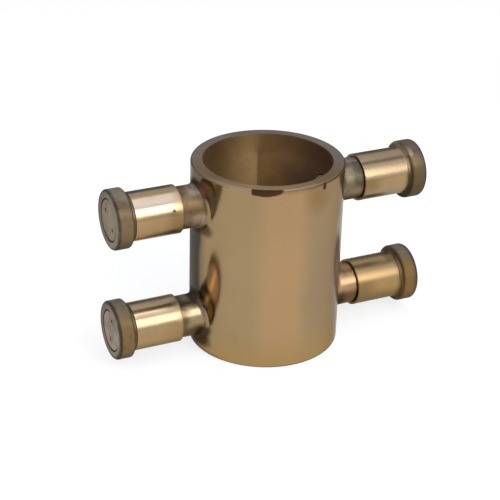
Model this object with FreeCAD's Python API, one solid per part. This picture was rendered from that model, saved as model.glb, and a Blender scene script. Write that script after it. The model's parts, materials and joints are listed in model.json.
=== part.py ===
import FreeCAD, Part
import os
from math import cos, hypot, pi, sin

# Double female hose adapter in gunmetal: two instantaneous sockets, back to back in one body.
# Two spring plungers with pull knobs hold each socket. Millimetres, +Z up, the arms along X,
# the origin at the centre of the lower rim.

# Body tube and sockets
body_wall = 8.0              # round the mouth of a socket
rim_rounding = 1.6
mouth_bore_d = 80.0
mouth_depth = 13.0           # straight mouth, from the rim
mouth_chamfer = 0.5
seat_step = 0.2              # the seat is this much smaller in radius than the mouth
seat_taper = 3.5             # length of the cone between mouth and seat
socket_depth = 37.0          # rim to the washer groove
groove_depth = 3.2           # washer groove, outwards from the seat
groove_width = 8.5
shelf_width = 7.8            # shelf under the washer, inwards from the seat
waterway_length = 31.0       # between the two shelves
waterway_chamfer = 1.0

# Bosses
boss_d = 26.8
boss_set_back = 9.6          # rim to the near side of a boss
boss_length = 38.0           # beyond the tube's outside
boss_root_fillet = 4.5
boss_chamfer = 0.8
chamber_d = 17.0
chamber_sink = 1.0           # chamber floor, below the tube's outside

# Plunger
tooth_d = 12.0
tooth_height = 9.4           # across the two flats
tooth_reach = 4.8            # into the seat bore
tooth_land = 3.2             # tip left square under the slope
collar_thickness = 4.0
spring_space = 3.3           # between the spindle and the chamber wall
stem_d = 8.0
stem_shoulder = 0.6          # that the knob seats on
pull_margin = 0.7            # tooth drawn back past the bore at full travel

# Bonnet
bonnet_plug = 9.0            # length inside the boss
bonnet_head = 3.0
bonnet_head_set_back = 1.5   # inside the boss's outline
bonnet_slot_width = 3.0
bonnet_slot_depth = 1.4

# Spring
spring_wire_d = 1.8
spring_coils = 5.5

# Knob
neck_length = 14.0           # boss left bare between the tube and the sleeve
knob_end_wall = 14.4
sleeve_wall = 1.5
sleeve_chamfer = 0.4
flange_overhang = 3.5        # over the sleeve
flange_thickness = 10.1
flange_back_rounding = 1.2
flange_front_rounding = 1.6
bead_height = 0.6            # over the sleeve
bead_width = 1.8

# Cap nut
cap_nut_d = 26.2
cap_nut_thickness = 4.5
cap_nut_crown = 1.5          # over the stem's end
cap_nut_recess = 0.5         # below the knob's end face
cap_nut_chamfer = 0.4
spanner_hole_d = 2.4
spanner_hole_depth = 2.4
spanner_hole_pitch_d = 14.0

# Washer
washer_bore_step = 2.0       # washer bore, beyond the waterway's radius
washer_lip_groove = 2.6      # half-height of the V that lets the water spread the lips
washer_lip_depth = 3.6

# Clearances, on the radius or between two faces
tooth_clearance = 0.15
collar_clearance = 0.2
stem_clearance = 0.15
sleeve_clearance = 0.3
thread_clearance = 0.05
plug_clearance = 0.05
nut_clearance = 0.5
washer_clearance = 0.2
spring_end_clearance = 0.1
stop_clearance = 0.3         # spindle shoulder to bonnet at full travel
knob_clearance = 2.0         # bonnet head to the knob's end wall

# Clocking of each cap nut's spanner holes, degrees about the arm
cap_nut_clocking = {
    "upper_left": 51.0,
    "upper_right": 20.0,
    "lower_left": -8.0,
    "lower_right": 75.0,
}

# Radii and heights that follow
body_height = 2 * (socket_depth + groove_width) + waterway_length
mouth_r = mouth_bore_d / 2
body_r = mouth_r + body_wall
seat_r = mouth_r - seat_step
groove_r = seat_r + groove_depth
waterway_r = seat_r - shelf_width
boss_r = boss_d / 2
chamber_r = chamber_d / 2
collar_r = chamber_r - collar_clearance
spindle_r = chamber_r - spring_space
stem_r = stem_d / 2
thread_r = stem_r - stem_shoulder
bonnet_head_r = boss_r - bonnet_head_set_back
sleeve_bore_r = boss_r + sleeve_clearance
sleeve_r = sleeve_bore_r + sleeve_wall
bead_r = sleeve_r + bead_height
flange_r = sleeve_r + flange_overhang
cap_nut_r = cap_nut_d / 2
nut_pocket_r = cap_nut_r + nut_clearance
arm_inset = boss_set_back + boss_r
arm_heights = {"upper": body_height - arm_inset, "lower": arm_inset}

# Stations along an arm, from the tube's axis outwards
plunger_travel = tooth_reach + pull_margin
tooth_tip = seat_r - tooth_reach
chamber_floor = body_r - chamber_sink
collar_face = chamber_floor + collar_thickness
boss_end = body_r + boss_length
bonnet_face = boss_end - bonnet_plug
bonnet_top = boss_end + bonnet_head
spindle_end = bonnet_face - plunger_travel - stop_clearance
knob_floor = bonnet_top + knob_clearance
knob_face = knob_floor + knob_end_wall
sleeve_end = body_r + neck_length
flange_back = knob_face - flange_thickness
cap_nut_top = knob_face - cap_nut_recess
cap_nut_seat = cap_nut_top - cap_nut_thickness
stem_end = cap_nut_top - cap_nut_crown

origin = FreeCAD.Vector(0, 0, 0)
x_axis = FreeCAD.Vector(1, 0, 0)
z_axis = FreeCAD.Vector(0, 0, 1)


def corner_arc(centre, radius, start_deg, end_deg):
    """Three points of an arc in profile coordinates."""
    middle_deg = (start_deg + end_deg) / 2
    points = []
    for angle_deg in (start_deg, middle_deg, end_deg):
        angle = angle_deg * pi / 180
        points.append((centre[0] + radius * cos(angle), centre[1] + radius * sin(angle)))
    return points


def revolved(profile, axis):
    """Solid of revolution of a closed profile: (along, radius) corners, or arcs of three points."""
    def place(point):
        if axis is x_axis:
            return FreeCAD.Vector(point[0], 0, point[1])
        return FreeCAD.Vector(point[1], 0, point[0])

    runs = [item if isinstance(item, list) else [item] for item in profile]
    edges = []
    for index, run in enumerate(runs):
        if len(run) == 3:
            edges.append(Part.Arc(place(run[0]), place(run[1]), place(run[2])).toShape())
        next_start = runs[(index + 1) % len(runs)][0]
        if hypot(run[-1][0] - next_start[0], run[-1][1] - next_start[1]) > 1e-7:
            edges.append(Part.makeLine(place(run[-1]), place(next_start)))
    face = Part.Face(Part.Wire(edges))
    return face.revolve(origin, axis, 360)


def arm_cylinder(radius, start, end):
    return Part.makeCylinder(radius, end - start, FreeCAD.Vector(start, 0, 0), x_axis)


def flatted_bar(radius, height, start, end):
    """Round bar along the arm with flats above and below."""
    bar = arm_cylinder(radius, start, end)
    slab = Part.makeBox(end - start, 2 * radius, height, FreeCAD.Vector(start, -radius, -height / 2))
    return bar.common(slab)


def on_arm(shape, level, side):
    """Put a piece made along +X, with the mouth above it, on one of the four arms."""
    placed = shape.copy()
    if level == "lower":
        placed.rotate(origin, x_axis, 180)
    if side == "left":
        placed.rotate(origin, z_axis, 180)
    placed.translate(FreeCAD.Vector(0, 0, arm_heights[level]))
    return placed


def is_boss_root(edge):
    """True for the edge where a boss meets the tube's outside."""
    for share in (0.1, 0.4, 0.7):
        point = edge.valueAt(edge.FirstParameter + share * (edge.LastParameter - edge.FirstParameter))
        on_tube = abs(hypot(point.x, point.y) - body_r) < 1e-3
        on_boss = any(abs(hypot(point.y, point.z - height) - boss_r) < 1e-3 for height in arm_heights.values())
        if not (on_tube and on_boss):
            return False
    return True


def socket_bore():
    """Everything that is bored out along the tube, revolved about its axis."""
    over = mouth_chamfer
    middle = body_height / 2
    half_section = [
        (body_height + over, mouth_r + 2 * mouth_chamfer),
        (body_height - mouth_chamfer, mouth_r),
        (body_height - mouth_depth, mouth_r),
        (body_height - mouth_depth - seat_taper, seat_r),
        (body_height - socket_depth, seat_r),
        (body_height - socket_depth, groove_r),
        (body_height - socket_depth - groove_width, groove_r),
        (body_height - socket_depth - groove_width, waterway_r + waterway_chamfer),
        (body_height - socket_depth - groove_width - waterway_chamfer, waterway_r),
    ]
    mirrored = [(2 * middle - along, radius) for along, radius in reversed(half_section)]
    ends = [(mirrored[-1][0], 0), (half_section[0][0], 0)]
    return revolved(half_section + mirrored + ends, z_axis)


def body():
    tube = revolved([
        (0, 0),
        corner_arc((rim_rounding, body_r - rim_rounding), rim_rounding, 180, 90),
        corner_arc((body_height - rim_rounding, body_r - rim_rounding), rim_rounding, 90, 0),
        (body_height, 0),
    ], z_axis)
    tube.rotate(origin, z_axis, 90)     # keeps the seam of the tube clear of the bosses
    boss_pair = revolved([
        (-boss_end, 0),
        (-boss_end, boss_r - boss_chamfer),
        (-boss_end + boss_chamfer, boss_r),
        (boss_end - boss_chamfer, boss_r),
        (boss_end, boss_r - boss_chamfer),
        (boss_end, 0),
    ], x_axis)
    solid = tube
    for level in arm_heights:
        solid = solid.fuse(on_arm(boss_pair, level, "right"))
    root_edges = [edge for edge in solid.Edges if is_boss_root(edge)]
    solid = solid.makeFillet(boss_root_fillet, root_edges)
    solid = solid.cut(socket_bore())

    chamber = arm_cylinder(chamber_r, chamber_floor, boss_end + boss_chamfer)
    window = flatted_bar(
        tooth_d / 2 + tooth_clearance, tooth_height + 2 * tooth_clearance, tooth_tip, chamber_floor)
    hollow = chamber.fuse(window)
    for level in arm_heights:
        for side in ("left", "right"):
            solid = solid.cut(on_arm(hollow, level, side))
    return solid


def plunger():
    tooth_r = tooth_d / 2
    tooth = flatted_bar(tooth_r, tooth_height, tooth_tip, chamber_floor)
    slope_rise = tooth_height - tooth_land
    slope_foot = tooth_land - tooth_height / 2
    slope = Part.Face(Part.makePolygon([
        FreeCAD.Vector(tooth_tip, -tooth_r, slope_foot),
        FreeCAD.Vector(tooth_tip + slope_rise, -tooth_r, tooth_height / 2),
        FreeCAD.Vector(tooth_tip, -tooth_r, tooth_height / 2),
        FreeCAD.Vector(tooth_tip, -tooth_r, slope_foot),
    ])).extrude(FreeCAD.Vector(0, tooth_d, 0))
    turned = revolved([
        (chamber_floor, 0),
        (chamber_floor, collar_r),
        (collar_face, collar_r),
        (collar_face, spindle_r),
        (spindle_end, spindle_r),
        (spindle_end, stem_r),
        (knob_floor, stem_r),
        (knob_floor, thread_r),
        (stem_end, thread_r),
        (stem_end, 0),
    ], x_axis)
    return turned.fuse(tooth.cut(slope)).removeSplitter()


def spring():
    coil_r = (spindle_r + chamber_r) / 2
    first = collar_face + spring_wire_d / 2 + spring_end_clearance
    last = bonnet_face - spring_wire_d / 2 - spring_end_clearance
    helix = Part.makeHelix((last - first) / spring_coils, last - first, coil_r)
    start = helix.Edges[0]
    section = Part.Wire(Part.makeCircle(
        spring_wire_d / 2, start.valueAt(start.FirstParameter), start.tangentAt(start.FirstParameter)))
    coil = Part.Wire(helix.Edges).makePipeShell([section], True, True)
    coil.rotate(origin, FreeCAD.Vector(0, 1, 0), 90)
    coil.translate(FreeCAD.Vector(first, 0, 0))
    return coil


def bonnet():
    hole_r = stem_r + stem_clearance
    turned = revolved([
        (bonnet_face, hole_r),
        (bonnet_face, chamber_r - plug_clearance),
        (boss_end, chamber_r - plug_clearance),
        (boss_end, bonnet_head_r),
        (bonnet_top, bonnet_head_r),
        (bonnet_top, hole_r),
    ], x_axis)
    slot = Part.makeBox(
        bonnet_slot_depth, 2 * bonnet_head_r, bonnet_slot_width,
        FreeCAD.Vector(bonnet_top - bonnet_slot_depth, -bonnet_head_r, -bonnet_slot_width / 2))
    return turned.cut(slot)


def knob():
    bead_start = flange_back - bead_width
    back_r = flange_back_rounding
    front_r = flange_front_rounding
    return revolved([
        (sleeve_end, sleeve_bore_r),
        (sleeve_end, sleeve_r - sleeve_chamfer),
        (sleeve_end + sleeve_chamfer, sleeve_r),
        (bead_start - bead_height, sleeve_r),
        (bead_start, bead_r),
        (flange_back, bead_r),
        corner_arc((flange_back + back_r, flange_r - back_r), back_r, 180, 90),
        corner_arc((knob_face - front_r, flange_r - front_r), front_r, 90, 0),
        (knob_face, nut_pocket_r),
        (cap_nut_seat, nut_pocket_r),
        (cap_nut_seat, thread_r + thread_clearance),
        (knob_floor, thread_r + thread_clearance),
        (knob_floor, sleeve_bore_r),
    ], x_axis)


def cap_nut(clocking):
    turned = revolved([
        (cap_nut_seat, thread_r + thread_clearance),
        (cap_nut_seat, cap_nut_r),
        (cap_nut_top - cap_nut_chamfer, cap_nut_r),
        (cap_nut_top, cap_nut_r - cap_nut_chamfer),
        (cap_nut_top, 0),
        (stem_end + stem_clearance, 0),
        (stem_end + stem_clearance, thread_r + thread_clearance),
    ], x_axis)
    for half_turn in (0, 180):
        hole = arm_cylinder(spanner_hole_d / 2, cap_nut_top - spanner_hole_depth, cap_nut_top)
        hole.translate(FreeCAD.Vector(0, 0, spanner_hole_pitch_d / 2))
        hole.rotate(origin, x_axis, clocking + half_turn)
        turned = turned.cut(hole)
    return turned


def washer(level):
    seat = body_height - socket_depth - groove_width
    top = seat + groove_width - washer_clearance
    bore = waterway_r + washer_bore_step
    middle = (seat + top) / 2
    ring = revolved([
        (seat, bore),
        (seat, groove_r - washer_clearance),
        (top, groove_r - washer_clearance),
        (top, bore),
        (middle + washer_lip_groove, bore),
        (middle, bore + washer_lip_depth),
        (middle - washer_lip_groove, bore),
    ], z_axis)
    if level == "lower":
        ring.rotate(FreeCAD.Vector(0, 0, body_height / 2), x_axis, 180)
    return ring


os.makedirs("parts", exist_ok=True)
pieces = {"body": body()}
for level in arm_heights:
    pieces[f"{level}_washer"] = washer(level)
    for side in ("left", "right"):
        arm = f"{level}_{side}"
        pieces[f"{arm}_plunger"] = on_arm(plunger(), level, side)
        pieces[f"{arm}_spring"] = on_arm(spring(), level, side)
        pieces[f"{arm}_bonnet"] = on_arm(bonnet(), level, side)
        pieces[f"{arm}_knob"] = on_arm(knob(), level, side)
        pieces[f"{arm}_cap_nut"] = on_arm(cap_nut(cap_nut_clocking[arm]), level, side)
for node, shape in pieces.items():
    shape.exportStep(f"parts/{node}.step")
    print(node, "solids", len(shape.Solids), "valid", shape.isValid(), "volume", round(shape.Volume, 1))
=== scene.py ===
import json

import bmesh
import bpy
import numpy as np
from mathutils import Matrix, Vector


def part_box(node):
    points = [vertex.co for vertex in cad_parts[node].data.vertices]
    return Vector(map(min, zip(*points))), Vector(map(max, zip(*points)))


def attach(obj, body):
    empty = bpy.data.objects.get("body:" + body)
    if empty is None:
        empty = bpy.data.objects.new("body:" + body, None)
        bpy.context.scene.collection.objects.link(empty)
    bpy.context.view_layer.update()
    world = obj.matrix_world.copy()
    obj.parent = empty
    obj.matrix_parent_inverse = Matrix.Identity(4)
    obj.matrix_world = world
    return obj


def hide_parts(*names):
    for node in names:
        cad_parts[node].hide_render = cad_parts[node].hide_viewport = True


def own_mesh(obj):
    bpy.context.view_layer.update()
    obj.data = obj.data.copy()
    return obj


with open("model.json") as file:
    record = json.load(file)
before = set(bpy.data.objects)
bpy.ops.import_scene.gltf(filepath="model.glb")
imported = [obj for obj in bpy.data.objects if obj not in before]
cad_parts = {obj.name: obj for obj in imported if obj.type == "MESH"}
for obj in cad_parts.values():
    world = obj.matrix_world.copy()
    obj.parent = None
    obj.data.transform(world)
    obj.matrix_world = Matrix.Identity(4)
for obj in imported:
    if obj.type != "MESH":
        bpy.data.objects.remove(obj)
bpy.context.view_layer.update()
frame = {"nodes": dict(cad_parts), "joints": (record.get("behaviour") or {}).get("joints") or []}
mm = 0.001  # shapes are worked out in millimetres, the scene is in metres
arms = [f"{level}_{side}" for level in ("upper", "lower") for side in ("left", "right")]
print("frame loaded:", len(frame["nodes"]), "nodes")


# Sizes read from the frame, in millimetres

def nodeBox(node):
    low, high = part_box(node)
    return np.array(low) / mm, np.array(high) / mm


bodyHigh = nodeBox("body")[1]
knobLow, knobHigh = nodeBox("upper_right_knob")
springLow, springHigh = nodeBox("upper_right_spring")
washerLow, washerHigh = nodeBox("upper_washer")
tubeHeight = bodyHigh[2]
middleHeight = tubeHeight / 2
tubeRadius = 48.0  # outside of the tube
bossRadius = 13.4
bossEnd = bodyHigh[0]
sleeveStart = knobLow[0]  # a knob's inner end, along its arm
knobEnd = knobHigh[0]
armHeight = {
    "upper": (knobLow[2] + knobHigh[2]) / 2,
    "lower": tubeHeight - (knobLow[2] + knobHigh[2]) / 2,
}


def armPlace(arm):
    # which way the arm points along x, and the height of its axis
    level, side = arm.split("_")
    return (-1.0 if side == "left" else 1.0), armHeight[level]


# Outlines and grids

def roundedOutline(corners, stepDegrees=11.0, hold=0.12):
    # closed outline through (along, radius, rounding) corners: a corner with a rounding becomes the arc that
    # is tangent to both its sides, with one close point outside each end of the arc to keep the flats flat
    rows = np.array(corners, float)
    points = rows[:, :2]
    pieces = []
    for index, rounding in enumerate(rows[:, 2]):
        corner = points[index]
        back = points[index - 1] - corner
        ahead = points[(index + 1) % len(points)] - corner
        back /= np.linalg.norm(back)
        ahead /= np.linalg.norm(ahead)
        if rounding <= 0:
            pieces.append(corner[None])
            continue
        half = np.arccos(np.clip(back @ ahead, -1, 1)) / 2
        reach = rounding / np.tan(half)
        middle = back + ahead
        centre = corner + middle / np.linalg.norm(middle) * rounding / np.sin(half)
        first = corner + back * reach - centre
        last = corner + ahead * reach - centre
        turn = np.arctan2(first[0] * last[1] - first[1] * last[0], first @ last)
        count = max(2, int(np.ceil(abs(np.degrees(turn)) / stepDegrees)))
        angle = np.linspace(0, turn, count + 1)[:, None]
        side = np.array([-first[1], first[0]])
        arc = centre + first * np.cos(angle) + side * np.sin(angle)
        pieces += [corner[None] + back * (reach + hold), arc, corner[None] + ahead * (reach + hold)]
    return np.concatenate(pieces)


def gridQuads(rows, columns, wrapRows=True, wrapColumns=True):
    # the four corner numbers of every cell of a grid of points stored row by row
    row, column = np.meshgrid(
        np.arange(rows if wrapRows else rows - 1),
        np.arange(columns if wrapColumns else columns - 1), indexing="ij")
    nextRow = (row + 1) % rows
    nextColumn = (column + 1) % columns
    quads = [row * columns + column, nextRow * columns + column,
             nextRow * columns + nextColumn, row * columns + nextColumn]
    return np.stack(quads, -1).reshape(-1, 4)


def turnAboutArm(outline, sectors):
    # the outline point (u, r) at angle a goes to (u, r cos a, r sin a)
    angle = np.linspace(0, 2 * np.pi, sectors, endpoint=False)
    along = np.broadcast_to(outline[:, 0], (sectors, len(outline)))
    sideways = np.outer(np.cos(angle), outline[:, 1])
    upwards = np.outer(np.sin(angle), outline[:, 1])
    points = np.stack([along, sideways, upwards], -1).reshape(-1, 3)
    return points, gridQuads(sectors, len(outline))


def turnAboutTube(outline, sectors):
    # the outline point (z, r) at angle a goes to (r cos a, r sin a, z)
    points, quads = turnAboutArm(outline, sectors)
    return points[:, [1, 2, 0]], quads


def placeOnArm(points, arm):
    # half a turn about the tube for a left arm, then up to the arm's height
    sign, height = armPlace(arm)
    return points * [sign, sign, 1.0] + [0.0, 0.0, height]


def makePiece(name, points, faces, rider, material, replaced, sharpDegrees=32.0):
    # mesh from millimetre points, faces turned outwards, that rides on a body in place of a CAD node
    mesh = bpy.data.meshes.new(name)
    mesh.from_pydata((points * mm).tolist(), [], faces)
    shell = bmesh.new()
    shell.from_mesh(mesh)
    bmesh.ops.recalc_face_normals(shell, faces=shell.faces)
    openEdges = sum(not edge.is_manifold for edge in shell.edges)
    shell.to_mesh(mesh)
    shell.free()
    mesh.shade_smooth()
    mesh.set_sharp_from_angle(angle=np.radians(sharpDegrees))
    piece = bpy.data.objects.new(name, mesh)
    bpy.context.scene.collection.objects.link(piece)
    mesh.materials.append(material)
    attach(piece, rider)
    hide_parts(replaced)
    print(name, "faces", len(mesh.polygons), "open edges", openEdges)
    return piece


# Shader maths

class Wire:
    # a value on a socket: arithmetic on it adds Math nodes to its board
    def __init__(self, board, socket):
        self.board = board
        self.socket = socket

    def maths(self, operation, first, second):
        return self.board.node("ShaderNodeMath", {"operation": operation}, {0: first, 1: second})

    def __add__(self, other):
        return self.maths("ADD", self, other)

    def __radd__(self, other):
        return self.maths("ADD", other, self)

    def __sub__(self, other):
        return self.maths("SUBTRACT", self, other)

    def __rsub__(self, other):
        return self.maths("SUBTRACT", other, self)

    def __mul__(self, other):
        return self.maths("MULTIPLY", self, other)

    def __rmul__(self, other):
        return self.maths("MULTIPLY", other, self)

    def __truediv__(self, other):
        return self.maths("DIVIDE", self, other)

    def __pow__(self, other):
        return self.maths("POWER", self, other)

    def __abs__(self):
        return self.maths("ABSOLUTE", self, 0.0)

    def larger(self, other):
        return self.maths("MAXIMUM", self, other)


class Board:
    # the node tree of one material or world
    def __init__(self, owner):
        owner.use_nodes = True
        self.owner = owner
        self.tree = owner.node_tree
        self.tree.nodes.clear()

    def node(self, kind, settings=None, inputs=None, output=0):
        made = self.tree.nodes.new(kind)
        for key, value in (settings or {}).items():
            setattr(made, key, value)
        for key, value in (inputs or {}).items():
            if isinstance(value, Wire):
                self.tree.links.new(value.socket, made.inputs[key])
            else:
                made.inputs[key].default_value = value
        return Wire(self, made.outputs[output]) if made.outputs else None

    def place(self):
        return self.node("ShaderNodeTexCoord", output="Object")

    def axes(self, place):
        split = self.node("ShaderNodeSeparateXYZ", inputs={0: place}).socket.node
        return [Wire(self, socket) for socket in split.outputs]

    def noise(self, place, scale, detail=3.0, rough=0.5, stretch=None):
        if stretch:
            place = self.node("ShaderNodeMapping", inputs={"Vector": place, "Scale": stretch})
        return self.node("ShaderNodeTexNoise", inputs={
            "Vector": place, "Scale": scale, "Detail": detail, "Roughness": rough})

    def step(self, value, low, high, start=0.0, end=1.0):
        # smooth change from start to end while the value goes from low to high
        return self.node("ShaderNodeMapRange", {"interpolation_type": "SMOOTHSTEP"}, {
            "Value": value, "From Min": low, "From Max": high, "To Min": start, "To Max": end})

    def fade(self, value, low, high, start=1.0):
        # smooth change from start down to 0
        return self.step(value, low, high, start, 0.0)

    def band(self, value, low, high, soft):
        # 1 between low and high, with soft borders
        return self.step(value, low - soft, low + soft) * self.fade(value, high - soft, high + soft)

    def mix(self, amount, first, second):
        # two colours, each a tuple of three or a wire; the numbers are the Mix node's colour sockets
        first, second = [value if isinstance(value, Wire) else (*value, 1.0) for value in (first, second)]
        return self.node("ShaderNodeMix", {"data_type": "RGBA"}, {0: amount, 6: first, 7: second}, 2)

    def near(self, place, point, size, soft):
        # 1 within size of a point, 0 beyond soft
        away = self.node("ShaderNodeVectorMath", {"operation": "DISTANCE"}, {0: place, 1: point}, "Value")
        return self.fade(away, size, soft)

    def bump(self, height, strength, distance, normal=None):
        inputs = {"Height": height, "Strength": strength, "Distance": distance}
        if normal:
            inputs["Normal"] = normal
        return self.node("ShaderNodeBump", inputs=inputs)

    def finish(self, shader):
        self.node("ShaderNodeOutputMaterial", inputs={"Surface": shader})
        return self.owner


class Spot:
    # where a point of the part lies, in millimetres, and the two noises that its finish uses
    def __init__(self, board, cloud, fine):
        self.place = board.place()
        self.x, self.y, self.z = [axis / mm for axis in board.axes(self.place)]
        self.upper = board.step(self.z, middleHeight - 0.5, middleHeight + 0.5)  # 1 on the upper pair
        self.right = board.step(self.x, -1.0, 1.0)  # 1 on the right
        between = armHeight["upper"] - armHeight["lower"]
        self.up = self.z - armHeight["lower"] - self.upper * between  # above the nearer arm's axis
        self.fromArm = (self.y * self.y + self.up * self.up) ** 0.5
        self.cloud = board.noise(self.place, *cloud)
        self.fine = board.noise(self.place, *fine)

    def wander(self, reach):
        # added to a place, it makes a border wander by up to half the reach
        return (self.cloud - 0.5) * reach


def metal(board, colour, roughness, normal, edge, bare=1.0):
    # bare is the share of clean metal; the rest is oxide that scatters light
    return board.node("ShaderNodeBsdfPrincipled", inputs={
        "Base Color": colour, "Metallic": bare, "Roughness": roughness, "Normal": normal,
        "Specular Tint": (*edge, 1.0)})


# Finishes, worked out in millimetres from the piece's own place

bronze = dict(
    bright=(0.335, 0.233, 0.121),  # buffed gunmetal
    deep=(0.300, 0.200, 0.100),
    # grime, and the colour of painted shade in corners and along edges
    grimeAndShade=(0.035, 0.024, 0.014),
    upperArmReflection=(0.178, 0.080, 0.033),  # painted reflection of the upper left arm
    cornerShade=(0.074, 0.037, 0.018),  # painted shade in the corners
    # real stains, and the colour of painted shade under the lower left arm, at the lower necks' foot and on
    # the bore's mouth edge
    stainAndShade=(0.057, 0.030, 0.011),
    umber=(0.088, 0.058, 0.028),
    lowerArmReflection=(0.46, 0.235, 0.086),  # painted reflection of the lower left arm
    dust=(0.250, 0.186, 0.112),
    amber=(0.232, 0.138, 0.047),  # yellow-brown
    edge=(0.60, 0.56, 0.53),  # what the metal reflects at a glancing angle
    scuff=(420.0, 3.0, 0.6),  # scale, detail and roughness of the scuffs' noise
    grainDepth=0.0002,  # of turning marks and scuffs, in metres
    swellDepth=0.0006,  # of the unevenness that buffing leaves, in metres
)

blotBorder = dict(
    core=0.75,  # share of the size where a blot starts to fade, unless it says otherwise
    outer=1.05,
    cutSoft=0.5,
    cutRagged=1.5,
)


def blot(board, at, mark):
    # ellipse about a mark's middle with a border that the cloud noise eats into
    away = (((at.across - mark["middle"][0]) / mark["size"][0]) ** 2.0
            + ((at.z - mark["middle"][1]) / mark["size"][1]) ** 2.0) ** 0.5
    core = mark.get("core", blotBorder["core"])
    shown = board.fade(away + at.wander(1.0), core, blotBorder["outer"]) * mark["strength"]
    if "cut" in mark:  # one end is cut off clean
        soft = blotBorder["cutSoft"]
        ragged = at.across + at.wander(blotBorder["cutRagged"])
        shown = shown * board.step(ragged, mark["cut"] - soft, mark["cut"] + soft)
    return shown


wallFinish = dict(
    brightReflection=(0.416, 0.257, 0.126),  # painted reflection of the brightly lit floor in front
    grey=(0.298, 0.207, 0.120),  # greyer beside it
    olive=(0.330, 0.243, 0.117),
    low=(0.358, 0.228, 0.086),  # yellower near the foot
    film=(0.150, 0.116, 0.090),  # painted paler fringe round the dark edge reflection, short of the arms
    darkEdgeReflection=(0.078, 0.071, 0.059),  # painted dark reflection down the left edge, of the shadowed floor behind
    cloud=(34.0, 4.0, 0.6),  # scale, detail and roughness of each noise
    fine=(210.0, 4.0, 0.65),
    patches=(26.0, 2.0, 0.5),
    streaks=(60.0, 3.0, 0.55, (1.0, 1.0, 0.12)),  # drawn out up the tube
    lathe=(2.6, 2.0, 0.6),
    buffing=(22.0, 2.0, 0.5),
    ragged=9.0,  # how far borders wander
    gloss=0.17,  # roughness, here and in the other finishes
    front=(-8.0, 8.0),  # ahead of the axis
    warmAcross=(-3.0, 25.0),
    warmSoft=6.0,
    deepHeights=(62.0, 118.0),
    greyAcross=(20.0, 36.0),
    greyEnds=(14.0, 46.0),  # from mid-height, where it thins
    lowHeights=(0.0, 28.0),
    filmFrom=(-14.0, -4.0),  # front to back
    darkEdgeFrom=(-6.6, -2.6),
    darkEdgeTo=(19.0, 47.0),  # fades out round the back
    widerHeights=(68.0, 80.0),  # the painted dark reflection widens towards the upper arms
    wider=1.8,
    darkEdgeTop=(108.0, 113.0),  # the dark reflection fades above, into the paler fringe
    blots=dict(  # middles and sizes across the tube and up it
        # painted reflection of the lower left arm in the wall
        lowerArmReflectionPatch=dict(
            middle=(-31.4, 55.2), size=(4.9, 17.4), strength=0.76, core=0.58, film=0.7, colour="lowerArmReflection"),
        # painted reflection of the upper left arm at its root
        upperArmReflectionPatch=dict(
            middle=(-36.6, 113.6), size=(6.8, 6.4), strength=0.9, core=0.3, film=0.6, colour="upperArmReflection"),
        # painted shade under the upper left arm
        underUpperArm=dict(
            middle=(-37.6, 87.2), size=(7.6, 7.2), strength=0.95, core=0.4, film=0.0, colour="umber"),
        # painted shade under the lower left arm
        underLowerArm=dict(
            middle=(-39.2, 9.8), size=(7.6, 7.4), strength=0.95, core=0.4, film=0.0, colour="stainAndShade"),
        # painted greyer reflection along the right edge
        rightEdgeReflection=dict(
            middle=(46.8, 60.0), size=(5.2, 58.0), strength=0.8, core=0.3, film=0.6, colour="dust"),
        rimAmber=dict(
            middle=(31.5, 115.0), size=(11.0, 17.0), strength=0.62, core=0.05, film=0.0, colour="amber"),
        leftDust=dict(
            middle=(-32.2, 107.0), size=(4.4, 13.0), strength=0.36, core=0.4, film=0.7, colour="dust"),
    ),
)


def wallColour(board, at):
    # colour of the tube's outside, and the mask of its painted dark edge reflection
    look = wallFinish
    drift = at.wander(look["ragged"])
    patch = board.noise(at.place, *look["patches"])
    front = board.step(at.ahead, *look["front"])
    colour = board.mix(board.step(at.cloud, 0.40, 0.72, end=0.6), bronze["bright"], bronze["deep"])
    colour = board.mix(board.step(patch, 0.42, 0.66, end=0.7), colour, look["olive"])
    # painted reflection of the lit floor, a bright stretch towards the front
    brightReflection = board.band(at.across + drift, *look["warmAcross"], look["warmSoft"]) * front
    colour = board.mix(brightReflection * 0.8, colour, look["brightReflection"])
    colour = board.mix(board.step(at.z + drift, *look["deepHeights"], end=0.35), colour, bronze["deep"])
    grey = board.step(at.across + drift, *look["greyAcross"]) * front
    grey = grey * board.step(at.fromMiddle, *look["greyEnds"], 0.95, 0.45)
    colour = board.mix(grey, colour, look["grey"])
    colour = board.mix(board.fade(at.z + drift, *look["lowHeights"], 0.8), colour, look["low"])
    # painted dark reflection at the left edge, with a paler painted fringe round it
    ends = board.fade(at.y + drift * 0.6, *look["darkEdgeTo"])
    film = board.step(at.y + drift * 0.5, *look["filmFrom"]) * ends
    wider = board.step(at.z, *look["widerHeights"], end=look["wider"])
    dark = board.step(at.y + drift * 0.15 + wider, *look["darkEdgeFrom"]) * ends
    dark = dark * board.step(at.z + drift * 0.3, *look["darkEdgeTop"], 1.0, 0.15)
    colour = board.mix(film * 0.8, colour, look["film"])
    return board.mix(dark, colour, look["darkEdgeReflection"]), dark


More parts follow.
